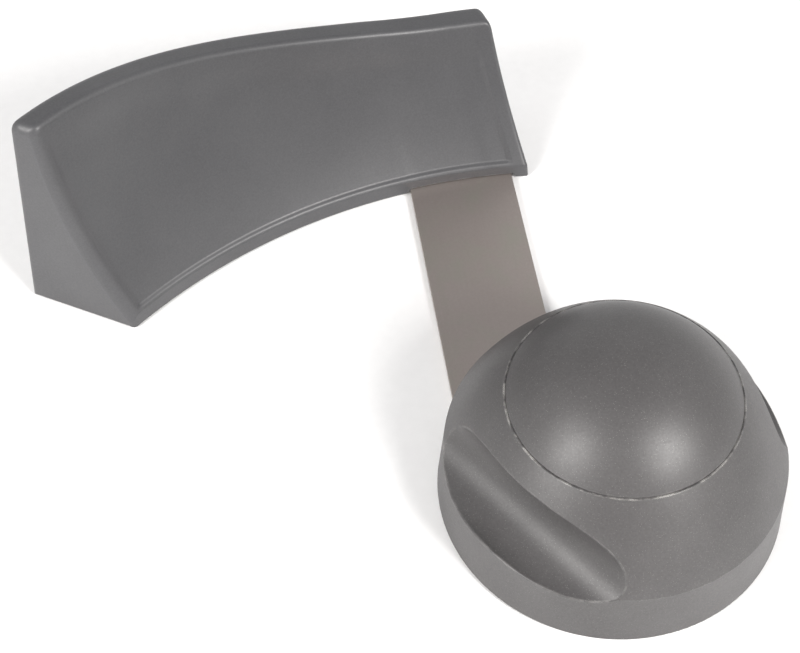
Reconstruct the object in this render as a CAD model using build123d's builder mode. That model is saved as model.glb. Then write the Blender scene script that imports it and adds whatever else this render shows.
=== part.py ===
from build123d import *
import os
from math import acos, atan2, cos, degrees, hypot, pi, radians, sin, sqrt, tan

# Floor door holder: a dome stop that turns on a floor plate and carries, on a spring-steel
# strip, a tall curved fin. The door leaf stands over the strip, between the dome and the fin.
#
# Millimetres, +Z up. The origin is on the floor, on the axis of the pivot. The strip runs along
# +Y, on the -X side of the pivot, and the fin curves away from its end towards -X.

os.makedirs("parts", exist_ok=True)


def save(piece, node):
    """Labels a finished piece and writes it as one STEP file."""
    piece.label = node
    export_step(piece, f"parts/{node}.step")


def polar(radius, azimuth):
    """A point on the floor at a distance from the pivot axis; azimuth in degrees from +X."""
    return radius * cos(radians(azimuth)), radius * sin(radians(azimuth))


# ---------------------------------------------------------------- driving sizes
# Floor plate and pivot
plate_radius = 19.0
plate_thickness = 3.0
plate_edge_chamfer = 0.6
floor_hole_radius = 2.25
floor_hole_sink_radius = 4.2
floor_hole_rim = 1.3
floor_hole_count = 3
floor_hole_azimuth = 30.0
spigot_radius = 4.0
post_radius = 6.0
thread_radius = 4.0
thread_length = 11.0
thread_chamfer = 0.8
nut_across_flats = 13.0
nut_height = 5.0
nut_collar_height = 2.2
nut_collar_step = 0.5
nut_collar_wall = 0.9
nut_collar_lip = 0.6

# Turning hub inside the dome
bush_wall = 2.0
bush_flange_width = 4.0
bush_flange_thickness = 1.5
hub_wall = 4.0
hub_height = 13.3
slip_ring_overhang = 1.0
slip_ring_thickness = 0.8
washer_thickness = 1.6
spring_thickness = 0.8
spring_rise = 1.0

# Dome
dome_radius = 32.5
dome_shoulder_height = 13.8
dome_draft = 3.95
dome_wall = 3.0
shoulder_round = 18.0
slope_bulge = 0.7
dome_foot_round = 0.5
cap_radius = 21.05
cap_seat_rim = 0.25
cap_height = 30.4
cap_sphere_radius = 25.5
cap_wall = 2.5
cap_rim_depth = 2.1
cap_rim_round = 0.3
ledge_width = 2.15
ledge_depth = 3.3
skirt_wall = 2.2
skirt_depth = 4.7
hook_count = 4
hook_reach = 1.0
hook_height = 1.2
hook_width = 6.0
rib_thickness = 2.0
rib_azimuths = (111, 141, 171, 231, 291, 351, 51)

# Finger grips: two straight round scoops across the dome's flanks
grip_radius = 7.5
grip_distance = 28.0
grip_height = 19.5
grip_azimuth = 34.5
grip_wall = 2.5
grip_edge_round = 0.3
grip_rim_tolerance = 0.02

# Spring strip
strip_width = 22.0
strip_centre_x = -15.0
strip_thickness = 1.2
strip_lift = 0.4
strip_inner_end_y = -6.0
strip_bend_radius = 2.4
strip_leg_length = 21.5
leg_front_gap = 3.2
leg_end_gap = 1.0
strip_screw_radius = 1.5
strip_screw_head_radius = 2.6
strip_screw_length = 9.0
strip_screw_azimuths = rib_azimuths[:3]
pillar_radius = 3.8
pillar_inset = 2.5
pillar_top = 14.0
insert_radius = 2.3
insert_length = 6.0

# Fin
fin_centre = (-8.75, -40.15)
fin_inner_radius = 119.1
fin_right_angle = -4.2
fin_left_angle = 40.7
fin_skew = 18.5
fin_right_lean = 6.0
fin_depth = 23.9
fin_lip_height = 4.0
fin_ridge_front = 13.6
fin_ridge_back = 19.1
fin_low_height = 34.2
fin_high_height = 53.0
fin_rise_start = 0.2
fin_rise_end = 40.9
fin_face_hollow = 0.06
fin_ridge_round = 2.5
fin_lip_round = 1.0
fin_left_end_round = 1.0
fin_right_end_round = 0.6
fin_wall = 2.6
fin_section_count = 9
fin_bay_section_count = 4
fin_rib_thickness = 1.8
fin_rib_angles = (10.0, 20.0, 30.0)
fin_boss_distance = 11.5
fin_boss_radius = 3.6
fin_boss_height = 12.0
fin_lift = 0.6
fin_base_thickness = 2.0
fin_base_lift = 1.8
fin_base_screw_radius = 1.5
fin_base_screw_head_radius = 2.7
fin_base_screw_length = 10.0
clamp_distance = 13.0
clamp_boss_length = 3.4
clamp_boss_floor = 1.0
clamp_boss_radius = 3.2
clamp_width = 16.0
clamp_height = 13.0
clamp_thickness = 2.0
clamp_corner_radius = 1.5
clamp_screw_radius = 1.5
clamp_screw_head_radius = 2.8
clamp_screw_head_height = 1.6
clamp_screw_spacing = 9.0
screw_drive_radius = 1.0
screw_drive_depth = 0.9
glide_radius = 4.0
glide_distance = 13.5
glide_chamfer = 0.4
glide_angles = (2.5, 16.0, 36.5)

# Clearances
running_clearance = 0.05
slip_gap = 0.05
floor_gap = 0.5
cap_gap = 0.08
plate_clearance = 0.8
slot_clearance = 0.2
screw_clearance = 0.05
screw_tip_gap = 0.2
base_gap = 0.2

# ---------------------------------------------------------------- levels and places
slip_ring_bottom = plate_thickness
bush_bottom = slip_ring_bottom + slip_ring_thickness + slip_gap
hub_bottom = bush_bottom + bush_flange_thickness
hub_top = hub_bottom + hub_height
upper_ring_bottom = hub_top + slip_gap
post_shoulder = upper_ring_bottom + slip_ring_thickness
washer_top = post_shoulder + washer_thickness
spring_top = washer_top + spring_rise + spring_thickness
nut_top = spring_top + nut_height
bush_bore_radius = post_radius + running_clearance
bush_radius = bush_bore_radius + bush_wall
hub_radius = bush_radius + hub_wall
slip_ring_radius = bush_radius + slip_ring_overhang
floor_hole_circle_radius = plate_radius - floor_hole_sink_radius - floor_hole_rim
nut_collar_radius = nut_across_flats / 2 - nut_collar_step
nut_insert_radius = nut_collar_radius - nut_collar_wall
grip_axis_direction = (-sin(radians(grip_azimuth)), cos(radians(grip_azimuth)), 0)
grip_planes = [Plane(origin=(*polar(grip_distance * side, grip_azimuth), grip_height),
                     z_dir=grip_axis_direction) for side in (1, -1)]
strip_top = strip_lift + strip_thickness
strip_left_x = strip_centre_x - strip_width / 2
strip_right_x = strip_centre_x + strip_width / 2
strip_screw_circle_radius = dome_radius - dome_wall - pillar_inset - pillar_radius
strip_screw_points = [polar(strip_screw_circle_radius, a) for a in strip_screw_azimuths]
ledge_height = cap_height - cap_rim_depth
ledge_bore_radius = cap_radius - ledge_width
skirt_radius = ledge_bore_radius - 2 * cap_gap
skirt_bottom = ledge_height - skirt_depth
cap_sphere_z = cap_height - sqrt(cap_sphere_radius**2 - cap_radius**2)


# ---------------------------------------------------------------- floor plate and pivot
with BuildPart() as floor_plate:
    Cylinder(plate_radius, plate_thickness, align=(Align.CENTER, Align.CENTER, Align.MIN))
    chamfer(floor_plate.edges().group_by(Axis.Z)[-1], plate_edge_chamfer)
    with Locations((0, 0, plate_thickness)):
        with PolarLocations(floor_hole_circle_radius, floor_hole_count,
                            start_angle=floor_hole_azimuth):
            CounterSinkHole(floor_hole_radius, floor_hole_sink_radius, counter_sink_angle=90)
    Hole(spigot_radius)

# The post is riveted into the plate by its spigot; its thread takes the lock nut.
with BuildPart() as pivot_post:
    Cylinder(spigot_radius, plate_thickness, align=(Align.CENTER, Align.CENTER, Align.MIN))
    with Locations((0, 0, plate_thickness)):
        Cylinder(post_radius, post_shoulder - plate_thickness,
                 align=(Align.CENTER, Align.CENTER, Align.MIN))
    with Locations((0, 0, post_shoulder)):
        Cylinder(thread_radius, thread_length, align=(Align.CENTER, Align.CENTER, Align.MIN))
    chamfer(pivot_post.edges().group_by(Axis.Z)[-1], thread_chamfer)


def ring(inner_radius, outer_radius, bottom, thickness):
    """A flat ring round the pivot axis."""
    with BuildPart() as flat_ring:
        with BuildSketch(Plane.XY.offset(bottom)):
            Circle(outer_radius)
            Circle(inner_radius, mode=Mode.SUBTRACT)
        extrude(amount=thickness)
    return flat_ring.part


lower_slip_ring = ring(bush_bore_radius, slip_ring_radius, slip_ring_bottom, slip_ring_thickness)
upper_slip_ring = ring(bush_bore_radius, slip_ring_radius, upper_ring_bottom, slip_ring_thickness)
thrust_washer = ring(thread_radius + screw_clearance, slip_ring_radius, post_shoulder,
                     washer_thickness)

# The disc spring is a dished ring that keeps the hub under light friction.
with BuildPart() as disc_spring:
    with BuildSketch(Plane.XZ):
        with BuildLine():
            Polyline((thread_radius + screw_clearance, washer_top + spring_rise),
                     (slip_ring_radius, washer_top),
                     (slip_ring_radius, washer_top + spring_thickness),
                     (thread_radius + screw_clearance, spring_top),
                     close=True)
        make_face()
    revolve(axis=Axis.Z)

with BuildPart() as lock_nut:
    with BuildSketch(Plane.XY.offset(spring_top)):
        RegularPolygon(nut_across_flats / 2, 6, major_radius=False)
    extrude(amount=nut_height)
    with Locations((0, 0, nut_top)):
        Cylinder(nut_collar_radius, nut_collar_height,
                 align=(Align.CENTER, Align.CENTER, Align.MIN))
    with Locations((0, 0, nut_top)):
        Hole(thread_radius + screw_clearance)
    with BuildSketch(Plane.XY.offset(nut_top)):
        Circle(nut_insert_radius)
    extrude(amount=nut_collar_height - nut_collar_lip, mode=Mode.SUBTRACT)

nut_insert = ring(thread_radius + screw_clearance, nut_insert_radius, nut_top,
                  nut_collar_height - nut_collar_lip)

# ---------------------------------------------------------------- hub bush
with BuildPart() as pivot_bush:
    with Locations((0, 0, bush_bottom)):
        Cylinder(bush_radius + bush_flange_width / 2, bush_flange_thickness,
                 align=(Align.CENTER, Align.CENTER, Align.MIN))
    with Locations((0, 0, hub_bottom)):
        Cylinder(bush_radius, hub_height, align=(Align.CENTER, Align.CENTER, Align.MIN))
    Hole(bush_bore_radius)


# ---------------------------------------------------------------- dome body
def wall_radius(height):
    """Outer radius of the drafted wall at a height."""
    return dome_radius - height * tan(radians(dome_draft))


shoulder_radius = wall_radius(dome_shoulder_height)
body_rim_radius = cap_radius + cap_seat_rim
slope_run = shoulder_radius - body_rim_radius
slope_rise = cap_height - dome_shoulder_height
slope_length = sqrt(slope_run**2 + slope_rise**2)
inset_out = dome_wall * slope_rise / slope_length
inset_down = dome_wall * slope_run / slope_length
slope_middle = ((shoulder_radius + body_rim_radius) / 2 + slope_bulge * slope_rise / slope_length,
                (dome_shoulder_height + cap_height) / 2 + slope_bulge * slope_run / slope_length)


def slope_radius(height):
    """Radius of the straight line from the shoulder to the cap's seat, at a height."""
    return shoulder_radius - slope_run * (height - dome_shoulder_height) / slope_rise


def dome_outline():
    """The dome's outer half section, from the rim of the cap's seat down to the floor side."""
    with BuildSketch(Plane.XZ) as outline:
        with BuildLine():
            Polyline((body_rim_radius, cap_height), (0, cap_height), (0, floor_gap),
                     (wall_radius(floor_gap), floor_gap), (shoulder_radius, dome_shoulder_height))
            ThreePointArc((shoulder_radius, dome_shoulder_height), slope_middle,
                          (body_rim_radius, cap_height))
        make_face()
        foot, shoulder = outline.vertices().sort_by(Axis.X)[-1:-3:-1]
        fillet(foot, dome_foot_round)
        fillet(shoulder, shoulder_round)
    return outline.sketch


dome_section = dome_outline()
rib_length = slope_radius(max(hub_top, dome_shoulder_height)) - dome_wall / 2
ledge_underside = ledge_height - ledge_depth
inner_slope_radius = (shoulder_radius - inset_out
                      - slope_run * (ledge_underside - dome_shoulder_height + inset_down) / slope_rise)

def on_grip_rim(edge):
    """Every point of a grip's rim is the grip's radius away from the axis of its scoop."""
    for plane in grip_planes:
        points = [plane.to_local_coords(edge.position_at(share)) for share in (0, 0.25, 0.5, 0.75, 1)]
        if all(abs(hypot(point.X, point.Y) - grip_radius) < grip_rim_tolerance for point in points):
            return True
    return False


# The wall behind each grip is a round trough, trimmed to the dome's outer shape and kept out
# of the cap's seat and of the well that its skirt goes down into.
with BuildPart() as grip_troughs:
    with Locations(*grip_planes):
        Cylinder(grip_radius + grip_wall, 2 * dome_radius)
with BuildPart() as dome_envelope:
    add(dome_section)
    revolve(axis=Axis.Z)
with BuildPart() as cap_well:
    with Locations((0, 0, skirt_bottom - cap_gap)):
        Cylinder(skirt_radius + cap_gap, cap_height, align=(Align.CENTER, Align.CENTER, Align.MIN))
    with Locations((0, 0, ledge_height)):
        Cylinder(cap_radius, cap_height, align=(Align.CENTER, Align.CENTER, Align.MIN))
grip_walls = (dome_envelope.part & grip_troughs.part) - cap_well.part

with BuildPart() as dome_body:
    add(dome_section)
    revolve(axis=Axis.Z)
    with BuildSketch(Plane.XZ):
        with BuildLine():
            Polyline((0, floor_gap), (wall_radius(floor_gap) - dome_wall, floor_gap),
                     (shoulder_radius - inset_out, dome_shoulder_height - inset_down),
                     (inner_slope_radius, ledge_underside), (ledge_bore_radius, ledge_underside),
                     (ledge_bore_radius, ledge_height), (cap_radius, ledge_height),
                     (cap_radius, cap_height), (0, cap_height), close=True)
        make_face()
    revolve(axis=Axis.Z, mode=Mode.SUBTRACT)
    # hub and its ribs
    with BuildSketch(Plane.XY.offset(hub_bottom)):
        Circle(hub_radius)
        for azimuth in rib_azimuths:
            Rectangle(rib_length, rib_thickness, rotation=azimuth, align=(Align.MIN, Align.CENTER))
    extrude(amount=hub_height)
    # pillars that take the strip's screws
    with BuildSketch(Plane.XY.offset(strip_top)):
        with Locations(*strip_screw_points):
            Circle(pillar_radius)
    extrude(amount=pillar_top - strip_top)
    add(grip_walls)
    # bore of the hub, seats of the threaded inserts and clearance for the screws
    Hole(bush_radius)
    with BuildSketch(Plane.XY.offset(strip_top)):
        with Locations(*strip_screw_points):
            Circle(insert_radius)
    extrude(amount=insert_length, mode=Mode.SUBTRACT)
    with BuildSketch(Plane.XY.offset(strip_top)):
        with Locations(*strip_screw_points):
            Circle(strip_screw_radius + screw_clearance)
    extrude(amount=strip_screw_length, mode=Mode.SUBTRACT)
    # finger grips
    with Locations(*grip_planes):
        Cylinder(grip_radius, 2 * dome_radius, mode=Mode.SUBTRACT)
    fillet(dome_body.edges().filter_by(on_grip_rim), grip_edge_round)
    # slot under the wall for the strip
    with Locations((strip_centre_x, 0, 0)):
        Box(strip_width + 2 * slot_clearance, dome_radius, strip_top,
            align=(Align.CENTER, Align.MIN, Align.MIN), mode=Mode.SUBTRACT)


# ---------------------------------------------------------------- cap
# The cap is a spherical cover with a seat rim, and a skirt whose hooks snap under the ledge.
cap_outer_radius = cap_radius - cap_gap
cap_top = cap_sphere_z + cap_sphere_radius
cap_inner_sphere_radius = cap_sphere_radius - cap_wall
cap_rim_z = cap_sphere_z + sqrt(cap_sphere_radius**2 - cap_outer_radius**2)
skirt_inner_radius = skirt_radius - skirt_wall
cap_inside_z = cap_sphere_z + sqrt(cap_inner_sphere_radius**2 - skirt_inner_radius**2)
cap_inside_top = cap_sphere_z + cap_inner_sphere_radius


def cap_arc_middle(sphere_radius, end_radius):
    """Half-way point of a cap arc that runs from a radius up to the axis."""
    turn = (acos(end_radius / sphere_radius) + pi / 2) / 2
    return sphere_radius * cos(turn), cap_sphere_z + sphere_radius * sin(turn)


with BuildPart() as dome_cap:
    with BuildSketch(Plane.XZ) as cap_section:
        with BuildLine():
            ThreePointArc((cap_outer_radius, cap_rim_z),
                          cap_arc_middle(cap_sphere_radius, cap_outer_radius),
                          (0, cap_top))
            Line((0, cap_top), (0, cap_inside_top))
            ThreePointArc((0, cap_inside_top),
                          cap_arc_middle(cap_inner_sphere_radius, skirt_inner_radius),
                          (skirt_inner_radius, cap_inside_z))
            Polyline((skirt_inner_radius, cap_inside_z), (skirt_inner_radius, skirt_bottom),
                     (skirt_radius, skirt_bottom), (skirt_radius, ledge_height),
                     (cap_outer_radius, ledge_height), (cap_outer_radius, cap_rim_z))
        make_face()
        fillet(cap_section.vertices().group_by(Axis.X)[-1].sort_by(Axis.Y)[-1], cap_rim_round)
    revolve(axis=Axis.Z)
    with BuildSketch(Plane.XY.offset(skirt_bottom)):
        with PolarLocations(skirt_radius - skirt_wall / 2, hook_count, start_angle=grip_azimuth + 45):
            Rectangle(skirt_wall + 2 * hook_reach, hook_width)
    extrude(amount=hook_height)

# ---------------------------------------------------------------- spring strip
# One length of spring steel: flat under the door, bent up behind the fin's front wall.
wall_turn = degrees(fin_wall / fin_inner_radius)


def along(angle, distance=0.0):
    """A floor point on the fin's inner arc, moved back by a distance; angle from +Y to -X."""
    turn = radians(angle)
    back = radians(angle + fin_skew)
    return (fin_centre[0] - fin_inner_radius * sin(turn) - distance * sin(back),
            fin_centre[1] + fin_inner_radius * cos(turn) + distance * cos(back))


def section_plane(angle):
    """The plane of a fin section: its x runs back from the inner arc, its y is up. It stands
    upright, except at the right end, where it leans over the fin with the end wall."""
    back = radians(angle + fin_skew)
    lean = radians(fin_right_lean if angle <= fin_right_angle + wall_turn else 0)
    return Plane(origin=(*along(angle), 0), x_dir=(-sin(back), cos(back), 0),
                 z_dir=(cos(back) * cos(lean), sin(back) * cos(lean), sin(lean)))


fin_slope = fin_ridge_front / (fin_low_height - fin_lip_height)
leg_angle = degrees(atan2(1, fin_slope))


def fin_front_y(x):
    """Where the fin's front face stands on the floor at x."""
    return fin_centre[1] + sqrt(fin_inner_radius**2 - (x - fin_centre[0])**2)


leg_foot_y = fin_front_y(strip_centre_x) + fin_wall + strip_thickness + leg_front_gap
leg_top = (leg_foot_y + strip_leg_length * cos(radians(leg_angle)),
           strip_lift + strip_leg_length * sin(radians(leg_angle)))
leg_normal = (0, -sin(radians(leg_angle)), cos(radians(leg_angle)))
leg_direction = (0, cos(radians(leg_angle)), sin(radians(leg_angle)))
end_wall_x, end_wall_y = along(fin_right_angle + wall_turn)
leg_back_y = leg_top[0] + strip_thickness
leg_right_x = (end_wall_x - leg_end_gap - leg_top[1] * tan(radians(fin_right_lean))
               - (leg_back_y - end_wall_y) * tan(radians(fin_right_angle + fin_skew)))
leg_centre_x = (strip_left_x + leg_right_x) / 2
clamp_centre = (leg_centre_x, leg_foot_y + clamp_distance * leg_direction[1],
                strip_lift + clamp_distance * leg_direction[2])
clamp_plane = Plane(origin=clamp_centre, x_dir=(1, 0, 0), z_dir=leg_normal)
clamp_screw_points = [(-clamp_screw_spacing / 2, 0), (clamp_screw_spacing / 2, 0)]
with BuildPart() as spring_strip:
    with BuildSketch(Plane.YZ.offset(strip_left_x)) as strip_side:
        with BuildLine():
            FilletPolyline((strip_inner_end_y, strip_lift), (leg_foot_y, strip_lift), leg_top,
                           radius=strip_bend_radius + strip_thickness)
            offset(amount=strip_thickness, side=Side.LEFT)
        make_face()
    extrude(amount=strip_width)
    # notch round the floor plate
    with BuildSketch(Plane.XY):
        Circle(plate_radius + plate_clearance)
    extrude(amount=2 * strip_top, mode=Mode.SUBTRACT)
    with Locations((0, 0, strip_lift)):
        with Locations(*strip_screw_points):
            Cylinder(strip_screw_radius + screw_clearance, 4 * strip_thickness, mode=Mode.SUBTRACT)
            Cone(strip_screw_head_radius + screw_clearance, strip_screw_radius + screw_clearance,
                 strip_screw_head_radius - strip_screw_radius,
                 align=(Align.CENTER, Align.CENTER, Align.MIN), mode=Mode.SUBTRACT)
    # the leg is trimmed to clear the fin's end wall
    with Locations((leg_right_x, leg_foot_y - strip_bend_radius - strip_thickness, 0)):
        Box(strip_width, strip_leg_length, strip_leg_length + strip_top,
            align=(Align.MIN, Align.MIN, Align.MIN), mode=Mode.SUBTRACT)
    with BuildSketch(clamp_plane):
        with Locations(*clamp_screw_points):
            Circle(clamp_screw_radius + screw_clearance)
    extrude(amount=2 * strip_thickness, both=True, mode=Mode.SUBTRACT)

# ---------------------------------------------------------------- fin
def fin_height(angle):
    """The ridge rises smoothly from the strip's end of the fin to its free end."""
    share = (angle - fin_rise_start) / (fin_rise_end - fin_rise_start)
    share = min(max(share, 0), 1)
    return fin_low_height + (fin_high_height - fin_low_height) * share**2 * (3 - 2 * share)


def spread(start, end, count):
    """Evenly spaced angles from start to end."""
    return [start + (end - start) * step / (count - 1) for step in range(count)]


def face_point(angle, share, inset):
    """A point of the hollowed front face: its share of the way from lip to ridge, moved in by
    an inset."""
    rise = fin_height(angle) - fin_lip_height
    width = sqrt(fin_ridge_front**2 + rise**2)
    inset += 4 * fin_face_hollow * width * share * (1 - share)
    return (fin_ridge_front * share + inset * rise / width,
            fin_lip_height + rise * share - inset * fin_ridge_front / width)


def outer_points(angle):
    top = fin_height(angle)
    return [(fin_ridge_front, top), (fin_ridge_back, top), (fin_depth, fin_lift), (0, fin_lift),
            (0, fin_lip_height)]


def cavity_points(angle):
    """The hollow inside the walls; it stays blunt at the top, as a mould core does."""
    top = fin_height(angle)
    core_top = top - 2 * fin_wall
    front_top = face_point(angle, (core_top - fin_lip_height) / (top - fin_lip_height), fin_wall)
    back_lean = (fin_depth - fin_ridge_back) / (top - fin_lift)
    front = face_point(angle, 0, fin_wall)
    return [front_top,
            (fin_depth - fin_wall - back_lean * (front_top[1] - fin_lift), front_top[1]),
            (fin_depth - fin_wall, -fin_wall), (front[0], -fin_wall), front]


rib_turn = degrees(fin_rib_thickness / 2 / fin_inner_radius)
bay_starts = [fin_right_angle + wall_turn] + [a + rib_turn for a in fin_rib_angles]
bay_ends = [a - rib_turn for a in fin_rib_angles] + [fin_left_angle - wall_turn]
fin_boss_points = [along(a, fin_boss_distance) for a in fin_rib_angles]

base_seat = fin_base_lift + fin_base_thickness


def base_outline(gap):
    """The underside opening of the fin, drawn in by a gap."""
    turn = degrees(gap / fin_inner_radius)
    right, left = bay_starts[0] + turn, bay_ends[-1] - turn
    middle = (right + left) / 2
    front, back = fin_wall + gap, fin_depth - fin_wall - gap
    with BuildSketch() as outline:
        with BuildLine():
            ThreePointArc(along(right, front), along(middle, front), along(left, front))
            Line(along(left, front), along(left, back))
            ThreePointArc(along(left, back), along(middle, back), along(right, back))
            Line(along(right, back), along(right, front))
        make_face()
    return outline.sketch


fin_opening = base_outline(0)
fin_base_outline = base_outline(base_gap)

with BuildPart() as fin_shell:
    for angle in spread(fin_right_angle, fin_left_angle, fin_section_count):
        with BuildSketch(section_plane(angle)) as section:
            with BuildLine():
                outline = outer_points(angle)
                Polyline(*outline)
                ThreePointArc(outline[-1], face_point(angle, 0.5, 0), outline[0])
            make_face()
            fillet(section.vertices().sort_by(Axis.Y)[-2:], fin_ridge_round)
            fillet(section.vertices().sort_by(Axis.Y)[2], fin_lip_round)
    loft()
    fillet(fin_shell.faces().filter_by(GeomType.PLANE).sort_by(Axis.X)[0].edges(),
           fin_left_end_round)
    fillet(fin_shell.faces().filter_by(GeomType.PLANE).sort_by(Axis.X)[-1].edges(),
           fin_right_end_round)
    for start, end in zip(bay_starts, bay_ends):
        for angle in spread(start, end, fin_bay_section_count):
            with BuildSketch(section_plane(angle)):
                with BuildLine():
                    outline = cavity_points(angle)
                    Polyline(*outline)
                    ThreePointArc(outline[-1], face_point(angle, 0.5, fin_wall), outline[0])
                make_face()
        loft(mode=Mode.SUBTRACT)
    # seat of the base plate, below the ribs
    add(fin_opening)
    extrude(amount=base_seat, mode=Mode.SUBTRACT)
    # bosses: upright ones on the ribs for the base plate, two on the front wall for the leg
    with BuildSketch(Plane.XY.offset(base_seat)):
        with Locations(*fin_boss_points):
            Circle(fin_boss_radius)
    extrude(amount=fin_boss_height)
    with BuildSketch(clamp_plane.offset(strip_thickness)):
        with Locations(*clamp_screw_points):
            Circle(clamp_boss_radius)
    extrude(amount=clamp_boss_length)
    # pilot holes
    with BuildSketch(Plane.XY.offset(base_seat)):
        with Locations(*fin_boss_points):
            Circle(fin_base_screw_radius + screw_clearance)
    extrude(amount=fin_base_screw_length, mode=Mode.SUBTRACT)
    with BuildSketch(clamp_plane.offset(strip_thickness)):
        with Locations(*clamp_screw_points):
            Circle(clamp_screw_radius + screw_clearance)
    extrude(amount=clamp_boss_length - clamp_boss_floor, mode=Mode.SUBTRACT)
    # slot under the lip for the strip
    with Locations((strip_centre_x, 0, 0)):
        Box(strip_width + 2 * slot_clearance, leg_foot_y + strip_thickness, strip_top + slot_clearance,
            align=(Align.CENTER, Align.MIN, Align.MIN), mode=Mode.SUBTRACT)

with BuildPart() as fin_base:
    with BuildSketch(Plane.XY.offset(fin_base_lift)):
        add(fin_base_outline)
    extrude(amount=fin_base_thickness)
    # notch for the strip's bend and leg
    with Locations((strip_left_x - slot_clearance, 0, 0)):
        Box(strip_right_x - strip_left_x + fin_wall + 2 * slot_clearance,
            leg_foot_y + strip_bend_radius + strip_thickness, base_seat,
            align=(Align.MIN, Align.MIN, Align.MIN), mode=Mode.SUBTRACT)
    with Locations(*[(x, y, fin_base_lift) for x, y in fin_boss_points]):
        Cylinder(fin_base_screw_radius + screw_clearance, 3 * fin_base_thickness,
                 mode=Mode.SUBTRACT)
        Cone(fin_base_screw_head_radius + screw_clearance, fin_base_screw_radius + screw_clearance,
             fin_base_screw_head_radius - fin_base_screw_radius,
             align=(Align.CENTER, Align.CENTER, Align.MIN), mode=Mode.SUBTRACT)

with BuildPart() as fin_glides:
    with BuildSketch():
        with Locations(*[along(a, glide_distance) for a in glide_angles]):
            Circle(glide_radius)
    extrude(amount=fin_base_lift)
    chamfer(fin_glides.edges().group_by(Axis.Z)[0], glide_chamfer)


# ---------------------------------------------------------------- fasteners
def countersunk_screws(points, bottom, shank_radius, head_radius, length, drive_radius):
    """Countersunk screws driven upwards, heads flush at the bottom level."""
    places = [(x, y, bottom) for x, y in points]
    with BuildPart() as screws:
        with Locations(*places):
            Cylinder(shank_radius, length, align=(Align.CENTER, Align.CENTER, Align.MIN))
            Cone(head_radius, shank_radius, head_radius - shank_radius,
                 align=(Align.CENTER, Align.CENTER, Align.MIN))
        with BuildSketch(Plane.XY.offset(bottom)):
            with Locations(*points):
                RegularPolygon(drive_radius, 6)
        extrude(amount=screw_drive_depth, mode=Mode.SUBTRACT)
    return screws.part


strip_screws = countersunk_screws(strip_screw_points, strip_lift, strip_screw_radius,
                                  strip_screw_head_radius, strip_screw_length, screw_drive_radius)
fin_base_screws = countersunk_screws(fin_boss_points, fin_base_lift, fin_base_screw_radius,
                                     fin_base_screw_head_radius, fin_base_screw_length,
                                     screw_drive_radius)

with BuildPart() as thread_inserts:
    with BuildSketch(Plane.XY.offset(strip_top)):
        with Locations(*strip_screw_points):
            Circle(insert_radius)
            Circle(strip_screw_radius + screw_clearance, mode=Mode.SUBTRACT)
    extrude(amount=insert_length)

with BuildPart() as fin_clamp_plate:
    with BuildSketch(clamp_plane):
        RectangleRounded(clamp_width, clamp_height, clamp_corner_radius)
        with Locations(*clamp_screw_points):
            Circle(clamp_screw_radius + screw_clearance, mode=Mode.SUBTRACT)
    extrude(amount=-clamp_thickness)

with BuildPart() as fin_clamp_screws:
    with BuildSketch(clamp_plane.offset(-clamp_thickness)):
        with Locations(*clamp_screw_points):
            Circle(clamp_screw_radius)
    extrude(amount=(clamp_thickness + strip_thickness + clamp_boss_length
                    - clamp_boss_floor - screw_tip_gap))
    with BuildSketch(clamp_plane.offset(-clamp_thickness)):
        with Locations(*clamp_screw_points):
            Circle(clamp_screw_head_radius)
    extrude(amount=-clamp_screw_head_height)
    with BuildSketch(clamp_plane.offset(-clamp_thickness - clamp_screw_head_height)):
        with Locations(*clamp_screw_points):
            RegularPolygon(screw_drive_radius, 6)
    extrude(amount=screw_drive_depth, mode=Mode.SUBTRACT)

# ---------------------------------------------------------------- written pieces
pieces = {
    "floor_plate": floor_plate.part,
    "pivot_post": pivot_post.part,
    "lower_slip_ring": lower_slip_ring,
    "upper_slip_ring": upper_slip_ring,
    "thrust_washer": thrust_washer,
    "disc_spring": disc_spring.part,
    "lock_nut": lock_nut.part,
    "nut_insert": nut_insert,
    "pivot_bush": pivot_bush.part,
    "dome_body": dome_body.part,
    "dome_cap": dome_cap.part,
    "spring_strip": spring_strip.part,
    "strip_screws": strip_screws,
    "thread_inserts": thread_inserts.part,
    "fin_shell": fin_shell.part,
    "fin_base": fin_base.part,
    "fin_base_screws": fin_base_screws,
    "fin_glides": fin_glides.part,
    "fin_clamp_plate": fin_clamp_plate.part,
    "fin_clamp_screws": fin_clamp_screws.part,
}
for node, piece in pieces.items():
    save(piece, node)
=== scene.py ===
from math import atan2, cos, pi, radians, sin, sqrt, tan

import bmesh
import bpy
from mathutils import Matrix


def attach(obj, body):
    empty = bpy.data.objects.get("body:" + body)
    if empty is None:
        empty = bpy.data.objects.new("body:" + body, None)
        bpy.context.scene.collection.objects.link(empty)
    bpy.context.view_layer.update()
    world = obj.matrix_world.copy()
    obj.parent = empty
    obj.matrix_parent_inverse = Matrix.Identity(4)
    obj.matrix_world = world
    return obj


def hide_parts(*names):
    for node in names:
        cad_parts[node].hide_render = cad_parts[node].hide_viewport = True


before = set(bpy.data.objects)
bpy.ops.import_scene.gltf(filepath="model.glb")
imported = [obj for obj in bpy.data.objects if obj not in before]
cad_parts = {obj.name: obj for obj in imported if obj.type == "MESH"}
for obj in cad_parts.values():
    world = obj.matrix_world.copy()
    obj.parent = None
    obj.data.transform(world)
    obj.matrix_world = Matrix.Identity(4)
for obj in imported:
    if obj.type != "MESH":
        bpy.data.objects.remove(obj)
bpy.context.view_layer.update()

mm = 0.001

# ------------------------------------------------------------ floor plate and pivot post
# Turned steel plate, screwed to the floor under the dome, with the pivot post riveted into
# it. Both are zinc plated: a pale bluish metal with fine turning rings and worn edges.
zinc_light = (0.60, 0.62, 0.63, 1)
zinc_dark = (0.40, 0.42, 0.44, 1)
zinc_worn = (0.72, 0.72, 0.71, 1)
zinc_ring_pitch = 0.25 * mm


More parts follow.
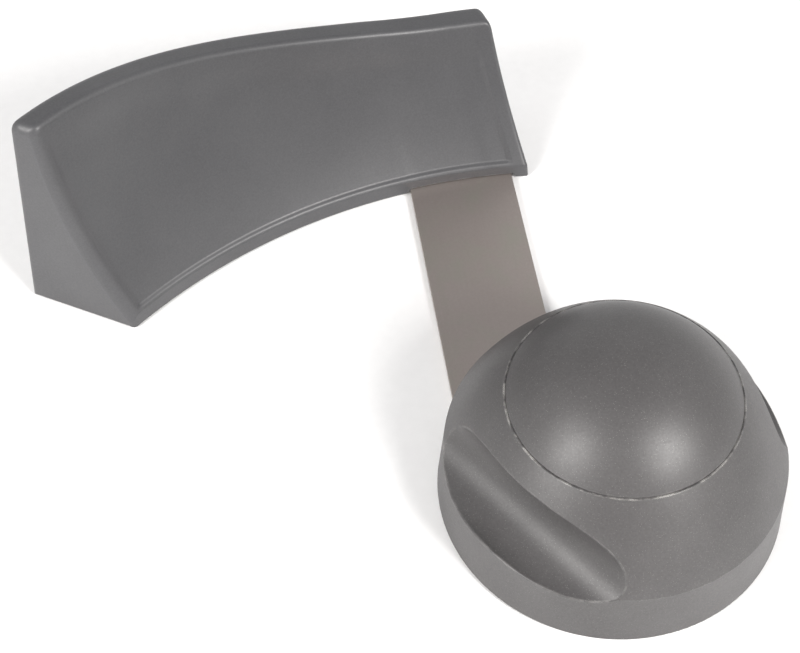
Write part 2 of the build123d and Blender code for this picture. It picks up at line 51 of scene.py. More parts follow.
def put(tree, kind, **settings):
    """Adds a node; a setting is an input of that name, or else a property of the node."""
    made = tree.nodes.new(kind)
    for name, value in settings.items():
        if name in made.inputs:
            made.inputs[name].default_value = value
        else:
            setattr(made, name, value)
    return made


def new_group(name, inputs, outputs):
    """An empty shader node group with named value inputs and the named outputs."""
    group = bpy.data.node_groups.new(name, "ShaderNodeTree")
    for label, default in inputs.items():
        socket = group.interface.new_socket(name=label, in_out="INPUT",
                                            socket_type="NodeSocketFloat")
        socket.default_value = default
    for label, kind in outputs.items():
        group.interface.new_socket(name=label, in_out="OUTPUT", socket_type=kind)
    return group, put(group, "NodeGroupInput"), put(group, "NodeGroupOutput")


# Grain: the fine uneven skin of a moulded or plated surface, as a shade, specks and a height.
grain_group, given, result = new_group(
    "surface_grain",
    {"Cells Per Metre": 3000.0, "Cloud Per Metre": 60.0, "Speck Share": 0.1},
    {"Shade": "NodeSocketFloat", "Specks": "NodeSocketFloat", "Height": "NodeSocketFloat"})
place = put(grain_group, "ShaderNodeTexCoord")
fine = put(grain_group, "ShaderNodeTexNoise", Detail=3.0, Roughness=0.6)
cloud = put(grain_group, "ShaderNodeTexNoise", Detail=4.0, Roughness=0.55)
cells = put(grain_group, "ShaderNodeTexVoronoi")
blend = put(grain_group, "ShaderNodeMix", data_type="FLOAT", Factor=0.45)
speck = put(grain_group, "ShaderNodeMath", operation="LESS_THAN")
for source, target in ((place.outputs["Object"], fine.inputs["Vector"]),
                       (place.outputs["Object"], cloud.inputs["Vector"]),
                       (place.outputs["Object"], cells.inputs["Vector"]),
                       (given.outputs["Cells Per Metre"], fine.inputs["Scale"]),
                       (given.outputs["Cells Per Metre"], cells.inputs["Scale"]),
                       (given.outputs["Cloud Per Metre"], cloud.inputs["Scale"]),
                       (fine.outputs["Fac"], blend.inputs[2]),
                       (cloud.outputs["Fac"], blend.inputs[3]),
                       (cells.outputs["Distance"], speck.inputs[0]),
                       (given.outputs["Speck Share"], speck.inputs[1]),
                       (blend.outputs[0], result.inputs["Shade"]),
                       (speck.outputs[0], result.inputs["Specks"]),
                       (fine.outputs["Fac"], result.inputs["Height"])):
    grain_group.links.new(source, target)

# Edge mask: bright along outer edges and broken up along their length. It marks worn edges.
# With a pale, strong edge colour, as on the dome, it also paints edge highlights.
edge_group, given, result = new_group(
    "edge_wear_and_glint", {"Width": 0.3 * mm, "Strength": 6.0, "Breaks Per Metre": 500.0},
    {"Mask": "NodeSocketFloat"})
rounded = put(edge_group, "ShaderNodeBevel", samples=4)
surface = put(edge_group, "ShaderNodeNewGeometry")
match = put(edge_group, "ShaderNodeVectorMath", operation="DOT_PRODUCT")
turned = put(edge_group, "ShaderNodeMath", operation="SUBTRACT")
turned.inputs[0].default_value = 1.0
stronger = put(edge_group, "ShaderNodeMath", operation="MULTIPLY", use_clamp=True)
place = put(edge_group, "ShaderNodeTexCoord")
breaks = put(edge_group, "ShaderNodeTexNoise", Detail=3.0, Roughness=0.7)
patchy = put(edge_group, "ShaderNodeMapRange")
patchy.inputs["From Min"].default_value = 0.42
patchy.inputs["From Max"].default_value = 0.62
broken = put(edge_group, "ShaderNodeMath", operation="MULTIPLY", use_clamp=True)
for source, target in ((given.outputs["Width"], rounded.inputs["Radius"]),
                       (rounded.outputs["Normal"], match.inputs[0]),
                       (surface.outputs["Normal"], match.inputs[1]),
                       (match.outputs["Value"], turned.inputs[1]),
                       (turned.outputs[0], stronger.inputs[0]),
                       (given.outputs["Strength"], stronger.inputs[1]),
                       (place.outputs["Object"], breaks.inputs["Vector"]),
                       (given.outputs["Breaks Per Metre"], breaks.inputs["Scale"]),
                       (breaks.outputs["Fac"], patchy.inputs["Value"]),
                       (stronger.outputs[0], broken.inputs[0]),
                       (patchy.outputs["Result"], broken.inputs[1]),
                       (broken.outputs[0], result.inputs["Mask"])):
    edge_group.links.new(source, target)

# Drawn lines: straight tool marks on metal, as a shade that also serves as a height.
lines_group, given, result = new_group(
    "tool_lines", {"Along Scale": 40.0, "Across Scale": 4000.0},
    {"Shade": "NodeSocketFloat"})
place = put(lines_group, "ShaderNodeTexCoord")
stretch = put(lines_group, "ShaderNodeCombineXYZ")
scaled = put(lines_group, "ShaderNodeVectorMath", operation="MULTIPLY")
drawn = put(lines_group, "ShaderNodeTexNoise", Scale=1.0, Detail=4.0, Roughness=0.65)
for source, target in ((given.outputs["Across Scale"], stretch.inputs["X"]),
                       (given.outputs["Along Scale"], stretch.inputs["Y"]),
                       (given.outputs["Across Scale"], stretch.inputs["Z"]),
                       (place.outputs["Object"], scaled.inputs[0]),
                       (stretch.outputs[0], scaled.inputs[1]),
                       (scaled.outputs[0], drawn.inputs["Vector"]),
                       (drawn.outputs["Fac"], result.inputs["Shade"])):
    lines_group.links.new(source, target)


def new_finish(name):
    """A material with an empty Principled shader, its node tree and a function that links."""
    material = bpy.data.materials.new(name)
    material.use_nodes = True
    tree = material.node_tree
    return material, tree, tree.nodes["Principled BSDF"], tree.links.new


def use_group(tree, group, **values):
    """Places a shared node group; a value's name has _ for the spaces in the input's name."""
    made = put(tree, "ShaderNodeGroup", node_tree=group)
    for name, value in values.items():
        made.inputs[name.replace("_", " ")].default_value = value
    return made


def shade_between(tree, dark, light, mask):
    """Mixes two colours by a mask and gives the colour's socket."""
    mix = put(tree, "ShaderNodeMix", data_type="RGBA")
    for socket, colour in ((mix.inputs[6], dark), (mix.inputs[7], light)):
        if isinstance(colour, bpy.types.NodeSocket):
            tree.links.new(colour, socket)
        else:
            socket.default_value = colour
    tree.links.new(mask, mix.inputs[0])
    return mix.outputs[2]


def stretch_mask(tree, mask, low, high, to_low=0.0, to_high=1.0):
    """Stretches the low-to-high part of a mask over another range and gives its socket."""
    spread = put(tree, "ShaderNodeMapRange")
    for label, value in (("From Min", low), ("From Max", high), ("To Min", to_low),
                         ("To Max", to_high)):
        spread.inputs[label].default_value = value
    tree.links.new(mask, spread.inputs["Value"])
    return spread.outputs["Result"]


def raise_skin(tree, shader, height, depth):
    """Bumps the shader's surface by a height mask, depth metres at full height."""
    bump = put(tree, "ShaderNodeBump", Strength=1.0, Distance=depth)
    tree.links.new(height, bump.inputs["Height"])
    tree.links.new(bump.outputs["Normal"], shader.inputs["Normal"])


def metal_finish(name, dark, light, worn, roughness, along, across, edge_width, mark_depth):
    """Metal with tool marks, along and across being their counts to the metre, cloudy plating
    and bright worn edges."""
    material, tree, shader, link = new_finish(name)
    shader.inputs["Metallic"].default_value = 1.0
    grain = use_group(tree, grain_group, Cells_Per_Metre=2500.0, Cloud_Per_Metre=90.0,
                      Speck_Share=0.1)
    lines = use_group(tree, lines_group, Along_Scale=along, Across_Scale=across)
    edges = use_group(tree, edge_group, Width=edge_width, Strength=5.0, Breaks_Per_Metre=600.0)
    marks = put(tree, "ShaderNodeMix", data_type="FLOAT", Factor=0.5)
    link(grain.outputs["Shade"], marks.inputs[2])
    link(lines.outputs["Shade"], marks.inputs[3])
    tone = shade_between(tree, dark, light, stretch_mask(tree, marks.outputs[0], 0.35, 0.65))
    tone = shade_between(tree, tone, worn, edges.outputs["Mask"])
    link(tone, shader.inputs["Base Color"])
    link(stretch_mask(tree, marks.outputs[0], 0.3, 0.7, roughness + 0.06, roughness - 0.06),
         shader.inputs["Roughness"])
    raise_skin(tree, shader, lines.outputs["Shade"], mark_depth)
    return material


def finish_nodes(material, *names):
    """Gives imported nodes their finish."""
    for name in names:
        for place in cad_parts[name].material_slots:
            place.material = material


zinc = metal_finish(
    "zinc_plate", zinc_dark, zinc_light, zinc_worn, roughness=0.36, along=900.0,
    across=1 / zinc_ring_pitch, edge_width=0.3 * mm, mark_depth=0.004 * mm)
finish_nodes(zinc, "floor_plate", "pivot_post")


# ------------------------------------------------------------ slip rings
# Two thin rings of natural nylon, stamped from sheet. The holder turns between them, so they
# are milky white and slightly waxy.
def polymer_finish(name, dark, light, worn, roughness, cells, cloud, grain_depth, edge_width,
                   edge_strength, speck_share, speck_shade):
    """Moulded polymer: grained skin, soft cloudiness, small pale specks and pale edges. The edges
    are partly rubbed and, where the edge colour is pale and strong, partly painted highlight. The
    cells of its grain and its clouds are counted to the metre."""
    material, tree, shader, link = new_finish(name)
    grain = use_group(tree, grain_group, Cells_Per_Metre=cells, Cloud_Per_Metre=cloud,
                      Speck_Share=speck_share)
    edges = use_group(tree, edge_group, Width=edge_width, Strength=edge_strength,
                      Breaks_Per_Metre=350.0)
    tone = shade_between(tree, dark, light, stretch_mask(tree, grain.outputs["Shade"], 0.35, 0.65))
    tone = shade_between(tree, tone, worn,
                         stretch_mask(tree, grain.outputs["Specks"], 0.0, 1.0, 0.0, speck_shade))
    # Pale edges: rubbing, and with a strong pale edge colour also painted edge highlights.
    tone = shade_between(tree, tone, worn, edges.outputs["Mask"])
    link(tone, shader.inputs["Base Color"])
    link(stretch_mask(tree, grain.outputs["Shade"], 0.3, 0.7, roughness + 0.05, roughness - 0.05),
         shader.inputs["Roughness"])
    raise_skin(tree, shader, grain.outputs["Height"], grain_depth)
    return material


slip_nylon = polymer_finish(
    "slip_nylon", (0.66, 0.65, 0.60, 1), (0.80, 0.79, 0.74, 1), (0.88, 0.87, 0.84, 1),
    roughness=0.42, cells=2600.0, cloud=220.0, grain_depth=0.01 * mm, edge_width=0.15 * mm,
    edge_strength=3.0, speck_share=0.05, speck_shade=0.3)
slip_shader = slip_nylon.node_tree.nodes["Principled BSDF"]
slip_shader.inputs["Subsurface Weight"].default_value = 0.15
slip_shader.inputs["Subsurface Scale"].default_value = 0.8 * mm
finish_nodes(slip_nylon, "lower_slip_ring", "upper_slip_ring")

# ------------------------------------------------------------ washer, disc spring and lock nut
# Steel washer, dished spring and hexagon nut that hold the holder down on its post with light
# friction. The spring is oiled blue-grey steel, and the nut's locking ring is blue nylon.
nut_nylon = polymer_finish(
    "nut_nylon", (0.05, 0.10, 0.27, 1), (0.08, 0.15, 0.36, 1), (0.20, 0.28, 0.48, 1),
    roughness=0.40, cells=2600.0, cloud=260.0, grain_depth=0.008 * mm, edge_width=0.12 * mm,
    edge_strength=3.0, speck_share=0.05, speck_shade=0.3)
disc_steel = metal_finish(
    "disc_spring_steel", (0.20, 0.22, 0.26, 1), (0.31, 0.33, 0.37, 1), (0.50, 0.50, 0.50, 1),
    roughness=0.34, along=1200.0, across=1500.0, edge_width=0.2 * mm, mark_depth=0.003 * mm)
finish_nodes(zinc, "thrust_washer", "lock_nut")
finish_nodes(nut_nylon, "nut_insert")
finish_nodes(disc_steel, "disc_spring")

# ------------------------------------------------------------ pivot bush
# Sintered bronze bush with a flange, pressed into the dome's hub: warm, open-grained metal
# that is dark with the oil it holds.
bronze = metal_finish(
    "bronze", (0.38, 0.24, 0.11, 1), (0.58, 0.39, 0.19, 1), (0.75, 0.55, 0.30, 1),
    roughness=0.40, along=2200.0, across=2600.0, edge_width=0.2 * mm, mark_depth=0.006 * mm)
finish_nodes(bronze, "pivot_bush")

# ------------------------------------------------------------ dome body and cap
# Two mouldings in dark grey satin plastic: the ribbed body with its two finger grips, and the
# round cap that snaps into it. The skin is finely spark-eroded. Its edges, the seam and the grip
# rims among them, are partly rubbed pale and partly painted highlight: a wide, strong pale edge
# colour paints glints on them and lightens the dark line of shade at the seam.
dome_grey_deep = (0.053, 0.0505, 0.051, 1)
dome_grey_pale = (0.075, 0.072, 0.0725, 1)
# Pale colour of the specks and of the edges. On the edges it is partly rubbing and partly painted
# highlight, which also lightens the shade at the seam.
dome_specks_rubbing_and_glint = (0.42, 0.41, 0.39, 1)
dome_plastic = polymer_finish(
    "dome_plastic", dome_grey_deep, dome_grey_pale, dome_specks_rubbing_and_glint, roughness=0.44, cells=2600.0,
    cloud=70.0, grain_depth=0.012 * mm, edge_width=0.45 * mm, edge_strength=7.0,
    speck_share=0.12, speck_shade=0.32)
finish_nodes(dome_plastic, "dome_body", "dome_cap")

# ------------------------------------------------------------ inserts and strip screws
# Brass inserts sit in the dome's three pillars, and plated countersunk screws come up through
# the strip into them.
brass = metal_finish(
    "brass_insert", (0.50, 0.36, 0.13, 1), (0.70, 0.53, 0.22, 1), (0.85, 0.70, 0.38, 1),
    roughness=0.30, along=1500.0, across=3500.0, edge_width=0.15 * mm, mark_depth=0.004 * mm)
finish_nodes(brass, "thread_inserts")
finish_nodes(zinc, "strip_screws")

# ------------------------------------------------------------ spring strip
# One length of rolled spring steel, left bare and lightly oiled: warm grey and satin, with
# fine rolling lines along it, faint brown and green mottling, and sheared edges.
strip_grey_dark = (0.400, 0.352, 0.328, 1)
strip_grey_light = (0.430, 0.382, 0.360, 1)
strip_olive = (0.385, 0.380, 0.325, 1)
strip_edge = (0.42, 0.40, 0.38, 1)
strip_steel, tree, shader, link = new_finish("spring_steel")
shader.inputs["Metallic"].default_value = 0.85
grain = use_group(tree, grain_group, Cells_Per_Metre=1800.0, Cloud_Per_Metre=75.0,
                  Speck_Share=0.12)
lines = use_group(tree, lines_group, Along_Scale=150.0, Across_Scale=1500.0)
edges = use_group(tree, edge_group, Width=0.25 * mm, Strength=5.0, Breaks_Per_Metre=500.0)
place = put(tree, "ShaderNodeTexCoord")
patches = put(tree, "ShaderNodeTexNoise", Scale=110.0, Detail=5.0, Roughness=0.6)
link(place.outputs["Object"], patches.inputs["Vector"])
marks = put(tree, "ShaderNodeMix", data_type="FLOAT", Factor=0.2)
link(grain.outputs["Shade"], marks.inputs[2])
link(lines.outputs["Shade"], marks.inputs[3])
tone = shade_between(tree, strip_grey_dark, strip_grey_light,
                     stretch_mask(tree, marks.outputs[0], 0.36, 0.64))
tone = shade_between(tree, tone, strip_olive,
                     stretch_mask(tree, patches.outputs["Fac"], 0.48, 0.72, 0.0, 0.7))
tone = shade_between(tree, tone, strip_edge, edges.outputs["Mask"])
link(tone, shader.inputs["Base Color"])
link(stretch_mask(tree, marks.outputs[0], 0.3, 0.7, 0.50, 0.40), shader.inputs["Roughness"])
raise_skin(tree, shader, lines.outputs["Shade"], 0.002 * mm)
finish_nodes(strip_steel, "spring_strip")

# ------------------------------------------------------------ fin shell
# The tall curved fin, one hollow moulding in dark grey satin plastic, open underneath. Its
# hollow face leans back from a low lip, and its ridge rises towards the free end's nose.
fin_centre = (-8.75 * mm, -40.15 * mm)
fin_inner_radius = 119.1 * mm
fin_right = radians(-4.2)
fin_left = radians(40.7)
fin_skew = radians(18.5)
fin_depth = 23.85 * mm
fin_foot = 0.6 * mm
fin_lip_height = 4.0 * mm
fin_ridge_front = 13.6 * mm
fin_ridge_back = 19.1 * mm
fin_low_height = 34.2 * mm
fin_high_height = 53.0 * mm
fin_rise = (radians(0.2), radians(40.9))
fin_lean_end = radians(8.0)
fin_wall = 2.6 * mm
fin_wall_turn = fin_wall / fin_inner_radius
fin_right_lean = radians(6.0)
fin_slot_height = 1.8 * mm
fin_slot_reach = (-26.3 * mm, -3.1 * mm)
# Sagitta of the face as a share of its width, and the rounding of the lip, of the ridge's
# front edge and of its back edge, which take up no more than a share of the ridge.
fin_face_hollow = 0.06
fin_rounds = (0.7 * mm, 1.3 * mm, 2.0 * mm)
fin_round_share = 0.6
# The face lies a little below a border that runs along its lip and up both of its ends.
fin_recess = 0.45 * mm
fin_border_slope = 0.9 * mm
fin_lip_border = 0.5 * mm
fin_right_border = 3.2 * mm
fin_left_border = 2.2 * mm
fin_recess_end = 3.5 * mm
fin_recess_fade = 6 * mm
fin_recess_deepest = 4.6 * mm
# Over the strip's leg the face is drawn in a touch more, with a ramp at each end.
fin_sink_depth = 0.05 * mm
fin_sink_reach = (-26.0 * mm, -7.8 * mm)
fin_sink_ramp = 1.5 * mm
# Rounding of the end edges on the lip, the face, the ridge and the back, for each end.
fin_right_rounds = (0.7 * mm, 0.9 * mm, 1.4 * mm, 0.7 * mm)
fin_left_rounds = (1.0 * mm, 1.6 * mm, 2.0 * mm, 1.6 * mm)
fin_foot_round = 0.4 * mm
# Steps of the mesh: along the fin, at each end, and round a section.
fin_sections = 90
fin_end_reach = 4.0 * mm
fin_end_turns = 13
fin_end_steps = 8
fin_end_step = 0.2 * mm
fin_lip_strip = 3.0 * mm
fin_lip_turns, fin_ridge_turns = 5, 9
fin_foot_steps, fin_strip_steps, fin_face_steps, fin_ridge_steps, fin_back_steps = 4, 16, 20, 3, 12


def fin_top(angle):
    """Height of the ridge at an angle along the fin."""
    share = min(max((angle - fin_rise[0]) / (fin_rise[1] - fin_rise[0]), 0), 1)
    return fin_low_height + (fin_high_height - fin_low_height) * share ** 2 * (3 - 2 * share)


def fin_point(angle, back, height):
    """A point of the fin from its angle, its way back from the inner arc and its height. The
    right end leans over the fin, and the lean fades out over the next part of its length."""
    lean_share = min(max((fin_lean_end - angle) / (fin_lean_end - fin_right), 0), 1)
    angle += lean_share * height * tan(fin_right_lean) / fin_inner_radius
    turned = angle + fin_skew
    return (fin_centre[0] - fin_inner_radius * sin(angle) - back * sin(turned),
            fin_centre[1] + fin_inner_radius * cos(angle) + back * cos(turned), height)


def crossing(line, other):
    """Where two lines of a section cross; a line is its point and its direction."""
    (ax, ay), (ux, uy) = line
    (bx, by), (vx, vy) = other
    step = ((bx - ax) * vy - (by - ay) * vx) / (ux * vy - uy * vx)
    return ax + step * ux, ay + step * uy


def rounded_corner(before, corner, after, radius, count):
    """Points of the arc that rounds a corner between two neighbours."""
    to_before = atan2(before[1] - corner[1], before[0] - corner[0])
    to_after = atan2(after[1] - corner[1], after[0] - corner[0])
    half = ((to_after - to_before) % (2 * pi)) / 2
    middle = to_before + half
    away = radius / sin(half)
    centre = (corner[0] + cos(middle) * away, corner[1] + sin(middle) * away)
    first = middle + pi + (pi / 2 - half)
    return [(centre[0] + radius * cos(first - (pi - 2 * half) * step / (count - 1)),
             centre[1] + radius * sin(first - (pi - 2 * half) * step / (count - 1)))
            for step in range(count)]


def run(start, end, count):
    """Evenly spaced points after the start, up to just before the end."""
    across, up = end[0] - start[0], end[1] - start[1]
    return [(start[0] + across * step / count, start[1] + up * step / count)
            for step in range(1, count)]


def smooth_step(value):
    """Rises smoothly from 0 to 1 as the value does."""
    share = min(max(value, 0), 1)
    return share * share * (3 - 2 * share)


def recess_face(points, angle, depth_share):
    """Lowers a section's face points behind its lip border, by a share of the recess."""
    top = fin_top(angle)
    length = sqrt(fin_ridge_front ** 2 + (top - fin_lip_height) ** 2)
    across, up = fin_ridge_front / length, (top - fin_lip_height) / length
    lowered = []
    for back, height in points:
        from_lip = back * across + (height - fin_lip_height) * up
        below = up * back - across * (height - fin_lip_height)
        ridge_fade = smooth_step((length - fin_recess_end - from_lip) / fin_recess_fade)
        on_face = smooth_step((from_lip - fin_lip_border) / fin_border_slope) * ridge_fade
        drop = fin_recess * depth_share * on_face * (below < fin_recess_deepest)
        lowered.append((back + up * drop, height - across * drop))
    return lowered


def fin_outline(angle, insets, foot_inset, front_foot):
    """A section's open outline, from the front foot over the ridge to the back foot, with each
    of its four sides (lip, face, ridge, back) moved inwards by its inset."""
    top = fin_top(angle)
    corners = ((0, fin_foot), (0, fin_lip_height), (fin_ridge_front, top), (fin_ridge_back, top),
               (fin_depth, fin_foot))
    sides = []
    for (ax, ay), (bx, by), inset in zip(corners, corners[1:], insets):
        length = sqrt((bx - ax) ** 2 + (by - ay) ** 2)
        ux, uy = (bx - ax) / length, (by - ay) / length
        sides.append(((ax + uy * inset, ay - ux * inset), (ux, uy)))
    front = crossing(sides[0], ((0, front_foot + foot_inset), (1, 0)))
    back = crossing(sides[3], ((0, fin_foot + foot_inset), (1, 0)))
    turns = [crossing(one, two) for one, two in zip(sides, sides[1:])]
    # The face is hollow: it leaves the lip leaning back more and reaches the ridge steeper.
    (lip_x, lip_y), (ridge_x, ridge_y) = turns[:2]
    across, up = ridge_x - lip_x, ridge_y - lip_y
    sag_x, sag_y = up * 4 * fin_face_hollow, -across * 4 * fin_face_hollow
    after_lip = (lip_x + across + sag_x, lip_y + up + sag_y)
    before_ridge = (ridge_x - across + sag_x, ridge_y - up + sag_y)
    limit = (turns[2][0] - ridge_x) * fin_round_share
    lip = rounded_corner(front, turns[0], after_lip, fin_rounds[0], fin_lip_turns)
    ridge = rounded_corner(before_ridge, turns[1], turns[2], min(fin_rounds[1], limit),
                           fin_ridge_turns)
    rear = rounded_corner(turns[1], turns[2], back, min(fin_rounds[2], limit), fin_ridge_turns)
    width = sqrt(across ** 2 + up ** 2)
    first, last = (((x - lip_x) * across + (y - lip_y) * up) / width ** 2
                   for x, y in (lip[-1], ridge[0]))
    border = fin_lip_strip / width
    shares = [first + (border - first) * step / fin_strip_steps
              for step in range(1, fin_strip_steps + 1)]
    shares += [border + (last - border) * step / fin_face_steps
               for step in range(1, fin_face_steps)]
    face = [(lip_x + across * share + sag_x * share * (1 - share),
             lip_y + up * share + sag_y * share * (1 - share)) for share in shares]
    return ([front] + run(front, lip[0], fin_foot_steps) + lip + face + ridge
            + run(ridge[-1], rear[0], fin_ridge_steps) + rear
            + run(rear[-1], back, fin_back_steps) + [back])


def end_inset(right, left, from_right, from_left):
    """How far the two ends' roundings draw a side in, at a distance in from each end."""
    return sum(radius - sqrt(max(radius ** 2 - (radius - min(way, radius)) ** 2, 0))
               for radius, way in ((right, from_right), (left, from_left)))


def slot_angle(x):
    """Angle along the fin's inner arc at which it passes a given x."""
    return atan2(-(x - fin_centre[0]), sqrt(fin_inner_radius ** 2 - (x - fin_centre[0]) ** 2))


fin_end_ways = [fin_end_reach * (1 - cos(pi / 2 * step / (fin_end_turns - 1)))
                for step in range(fin_end_turns)]
fin_end_ways += [fin_end_reach + fin_end_step * step for step in range(1, fin_end_steps + 1)]
fin_angles = [fin_right + way / fin_inner_radius for way in fin_end_ways]
fin_angles += [fin_left - way / fin_inner_radius for way in reversed(fin_end_ways)]
end_turn = fin_end_ways[-1] / fin_inner_radius
first, last = fin_right + end_turn, fin_left - end_turn
fin_angles += [first + (last - first) * step / fin_sections for step in range(1, fin_sections)]
# Sections along the fin, each with whether its front foot is down; it is up over the slot.
slot_start, slot_end = (slot_angle(x) for x in reversed(fin_slot_reach))
fin_stations = [(angle, not slot_start < angle < slot_end) for angle in fin_angles]
fin_stations += [(slot_start, False), (slot_start, True), (slot_end, True), (slot_end, False)]
fin_stations.sort(key=lambda station: station[0])
fin_rows, fin_inner_rows = [], []
for angle, foot_down in fin_stations:
    from_right = (angle - fin_right) * fin_inner_radius
    from_left = (fin_left - angle) * fin_inner_radius
    front_foot = fin_foot if foot_down else fin_slot_height
    insets = [end_inset(right, left, from_right, from_left)
              for right, left in zip(fin_right_rounds, fin_left_rounds)]
    x = fin_point(angle, 0, 0)[0]
    insets[1] += (fin_sink_depth * min(max((x - fin_sink_reach[0]) / fin_sink_ramp, 0), 1)
                  * min(max((fin_sink_reach[1] - x) / fin_sink_ramp, 0), 1))
    foot_inset = end_inset(fin_foot_round, fin_foot_round, from_right, from_left)
    behind_border = (smooth_step((from_right - fin_right_border) / fin_border_slope)
                     * smooth_step((from_left - fin_left_border) / fin_border_slope))
    outline = recess_face(fin_outline(angle, insets, foot_inset, front_foot), angle, behind_border)
    fin_rows.append([fin_point(angle, *point) for point in outline])
    inside = min(max(angle, fin_right + fin_wall_turn), fin_left - fin_wall_turn)
    outline = fin_outline(inside, [fin_wall] * 4, 0, front_foot)
    fin_inner_rows.append([fin_point(inside, *point) for point in outline])
fin_mesh = bmesh.new()
outer = [[fin_mesh.verts.new(point) for point in row] for row in fin_rows]
inner = [[fin_mesh.verts.new(point) for point in row] for row in fin_inner_rows]
for rows in (outer, inner):
    for one, two in zip(rows, rows[1:]):
        for k in range(len(one) - 1):
            fin_mesh.faces.new((one[k], two[k], two[k + 1], one[k + 1]))
    fin_mesh.faces.new(rows[0])
    fin_mesh.faces.new(rows[-1])
for k in (0, -1):
    for i in range(len(outer) - 1):
        fin_mesh.faces.new((outer[i][k], outer[i + 1][k], inner[i + 1][k], inner[i][k]))
    fin_mesh.faces.new((outer[k][0], outer[k][-1], inner[k][-1], inner[k][0]))
fin_merge = 0.0005 * mm
bmesh.ops.remove_doubles(fin_mesh, verts=fin_mesh.verts[:], dist=fin_merge)
bmesh.ops.dissolve_degenerate(fin_mesh, edges=fin_mesh.edges[:], dist=fin_merge)
bmesh.ops.recalc_face_normals(fin_mesh, faces=fin_mesh.faces[:])
fin_data = bpy.data.meshes.new("fin_skin")
fin_mesh.to_mesh(fin_data)
fin_mesh.free()
fin_data.polygons.foreach_set("use_smooth", [True] * len(fin_data.polygons))
fin_data.set_sharp_from_angle(angle=radians(38))
fin_skin = bpy.data.objects.new("fin_skin", fin_data)
bpy.context.collection.objects.link(fin_skin)
fin_skin.modifiers.new("even_normals", "WEIGHTED_NORMAL").keep_sharp = True
fin_plastic = polymer_finish(
    "fin_plastic", (0.053, 0.053, 0.0565, 1), (0.072, 0.072, 0.0755, 1), (0.27, 0.27, 0.275, 1),
    roughness=0.42, cells=2600.0, cloud=55.0, grain_depth=0.010 * mm, edge_width=0.30 * mm,
    edge_strength=2.0, speck_share=0.09, speck_shade=0.22)
fin_skin.data.materials.append(fin_plastic)
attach(fin_skin, "holder")
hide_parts("fin_shell")

# ------------------------------------------------------------ clamp plate and its screws
# Inside the fin a small plated plate holds the strip's leg against two bosses of the front
# wall, with two pan-head screws.
finish_nodes(zinc, "fin_clamp_plate", "fin_clamp_screws")

# ------------------------------------------------------------ fin base, screws and glides
# Flat cover of the same plastic in the fin's underside, held by three countersunk screws, and
# three pads of grey wool felt that slide on the floor.
glide_felt, tree, shader, link = new_finish("glide_felt")
grain = use_group(tree, grain_group, Cells_Per_Metre=1500.0, Cloud_Per_Metre=300.0,
                  Speck_Share=0.2)
tone = shade_between(tree, (0.10, 0.10, 0.10, 1), (0.22, 0.215, 0.21, 1),
                     stretch_mask(tree, grain.outputs["Shade"], 0.3, 0.7))
link(tone, shader.inputs["Base Color"])
link(stretch_mask(tree, grain.outputs["Height"], 0.2, 0.8, 0.86, 0.98), shader.inputs["Roughness"])
shader.inputs["Sheen Weight"].default_value = 0.35
raise_skin(tree, shader, grain.outputs["Height"], 0.12 * mm)
finish_nodes(fin_plastic, "fin_base")
finish_nodes(zinc, "fin_base_screws")
finish_nodes(glide_felt, "fin_glides")

# ------------------------------------------------------------ floor, light and camera
# A pale studio floor in a pale room that is darker on the camera's side and overhead, and two
# softboxes of a slightly warm white, one on each side of the camera.
studio_floor_size = 3.0
room_pale = (0.95, 0.95, 0.95, 1)
room_camera_side = (0.10, 0.10, 0.10, 1)
room_overhead = (0.36, 0.36, 0.37, 1)
softbox_colour = (1.0, 0.98, 0.96)
softbox_distance = 0.90
floor_mesh = bmesh.new()
bmesh.ops.create_grid(floor_mesh, x_segments=24, y_segments=24, size=studio_floor_size)
floor_data = bpy.data.meshes.new("studio_floor")
floor_mesh.to_mesh(floor_data)
floor_mesh.free()
studio_floor = bpy.data.objects.new("studio_floor", floor_data)
bpy.context.collection.objects.link(studio_floor)
floor_paint, tree, shader, link = new_finish("studio_paint")
grain = use_group(tree, grain_group, Cells_Per_Metre=400.0, Cloud_Per_Metre=3.0,
                  Speck_Share=0.05)
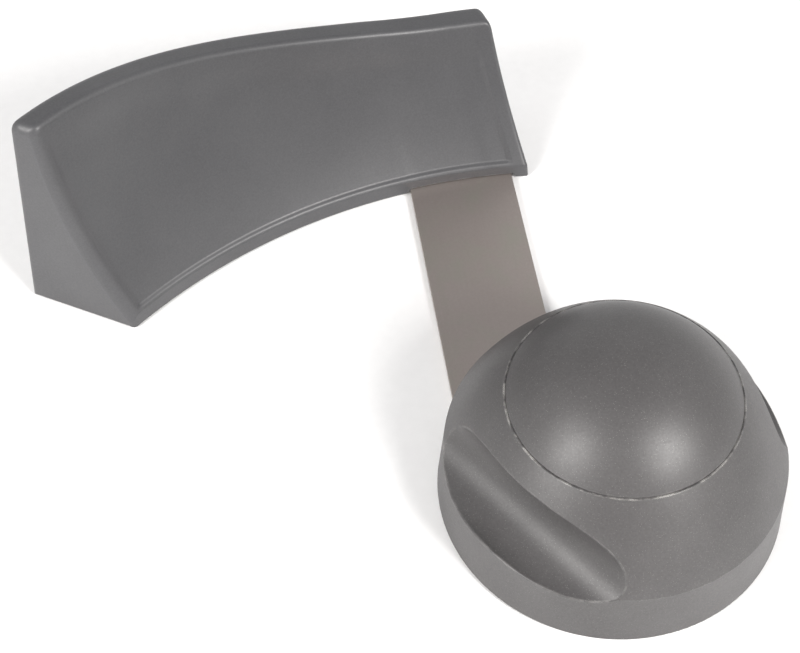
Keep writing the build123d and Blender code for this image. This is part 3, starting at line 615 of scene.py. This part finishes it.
tone = shade_between(tree, (0.86, 0.86, 0.86, 1), (0.89, 0.89, 0.89, 1),
                     stretch_mask(tree, grain.outputs["Shade"], 0.35, 0.65))
link(tone, shader.inputs["Base Color"])
link(stretch_mask(tree, grain.outputs["Height"], 0.2, 0.8, 0.80, 0.90), shader.inputs["Roughness"])
studio_floor.data.materials.append(floor_paint)

room = bpy.data.worlds.new("pale_room")
room.use_nodes = True
tree = room.node_tree
tree.nodes["Background"].inputs["Strength"].default_value = 1.0
bearing = put(tree, "ShaderNodeTexCoord")
split = put(tree, "ShaderNodeSeparateXYZ")
tree.links.new(bearing.outputs["Generated"], split.inputs[0])
room_tone = shade_between(tree, room_camera_side, room_pale,
                          stretch_mask(tree, split.outputs["Y"], -0.80, 0.45))
room_tone = shade_between(tree, room_tone, room_overhead,
                          stretch_mask(tree, split.outputs["Z"], 0.35, 0.90))
tree.links.new(room_tone, tree.nodes["Background"].inputs["Color"])
bpy.context.scene.world = room


def softbox(name, azimuth, elevation, width, height, power):
    """A rectangular lamp at a bearing from the pivot, facing it."""
    lamp = bpy.data.lights.new(name, "AREA")
    lamp.shape = "RECTANGLE"
    lamp.size = width
    lamp.size_y = height
    lamp.energy = power
    lamp.color = softbox_colour
    stand = bpy.data.objects.new(name, lamp)
    side, rise = radians(azimuth), radians(elevation)
    reach = softbox_distance * cos(rise)
    stand.location = (reach * cos(side), reach * sin(side), softbox_distance * sin(rise))
    stand.rotation_euler = (pi / 2 - rise, 0, side + pi / 2)
    bpy.context.collection.objects.link(stand)


softbox("left_softbox", azimuth=-151, elevation=33, width=0.28, height=0.50, power=8.5)
softbox("right_softbox", azimuth=-53, elevation=38, width=0.28, height=0.38, power=10.5)

view = bpy.data.cameras.new("studio_camera")
view.lens = 81.0
view.sensor_width = 36.0
view.clip_start = 0.01
camera = bpy.data.objects.new("studio_camera", view)
camera.location = (-65.587 * mm, -171.367 * mm, 291.605 * mm)
camera.rotation_euler = (radians(36.654), 0, radians(-8.518))
bpy.context.collection.objects.link(camera)
bpy.context.scene.camera = camera
bpy.context.scene.view_settings.view_transform = "Standard"
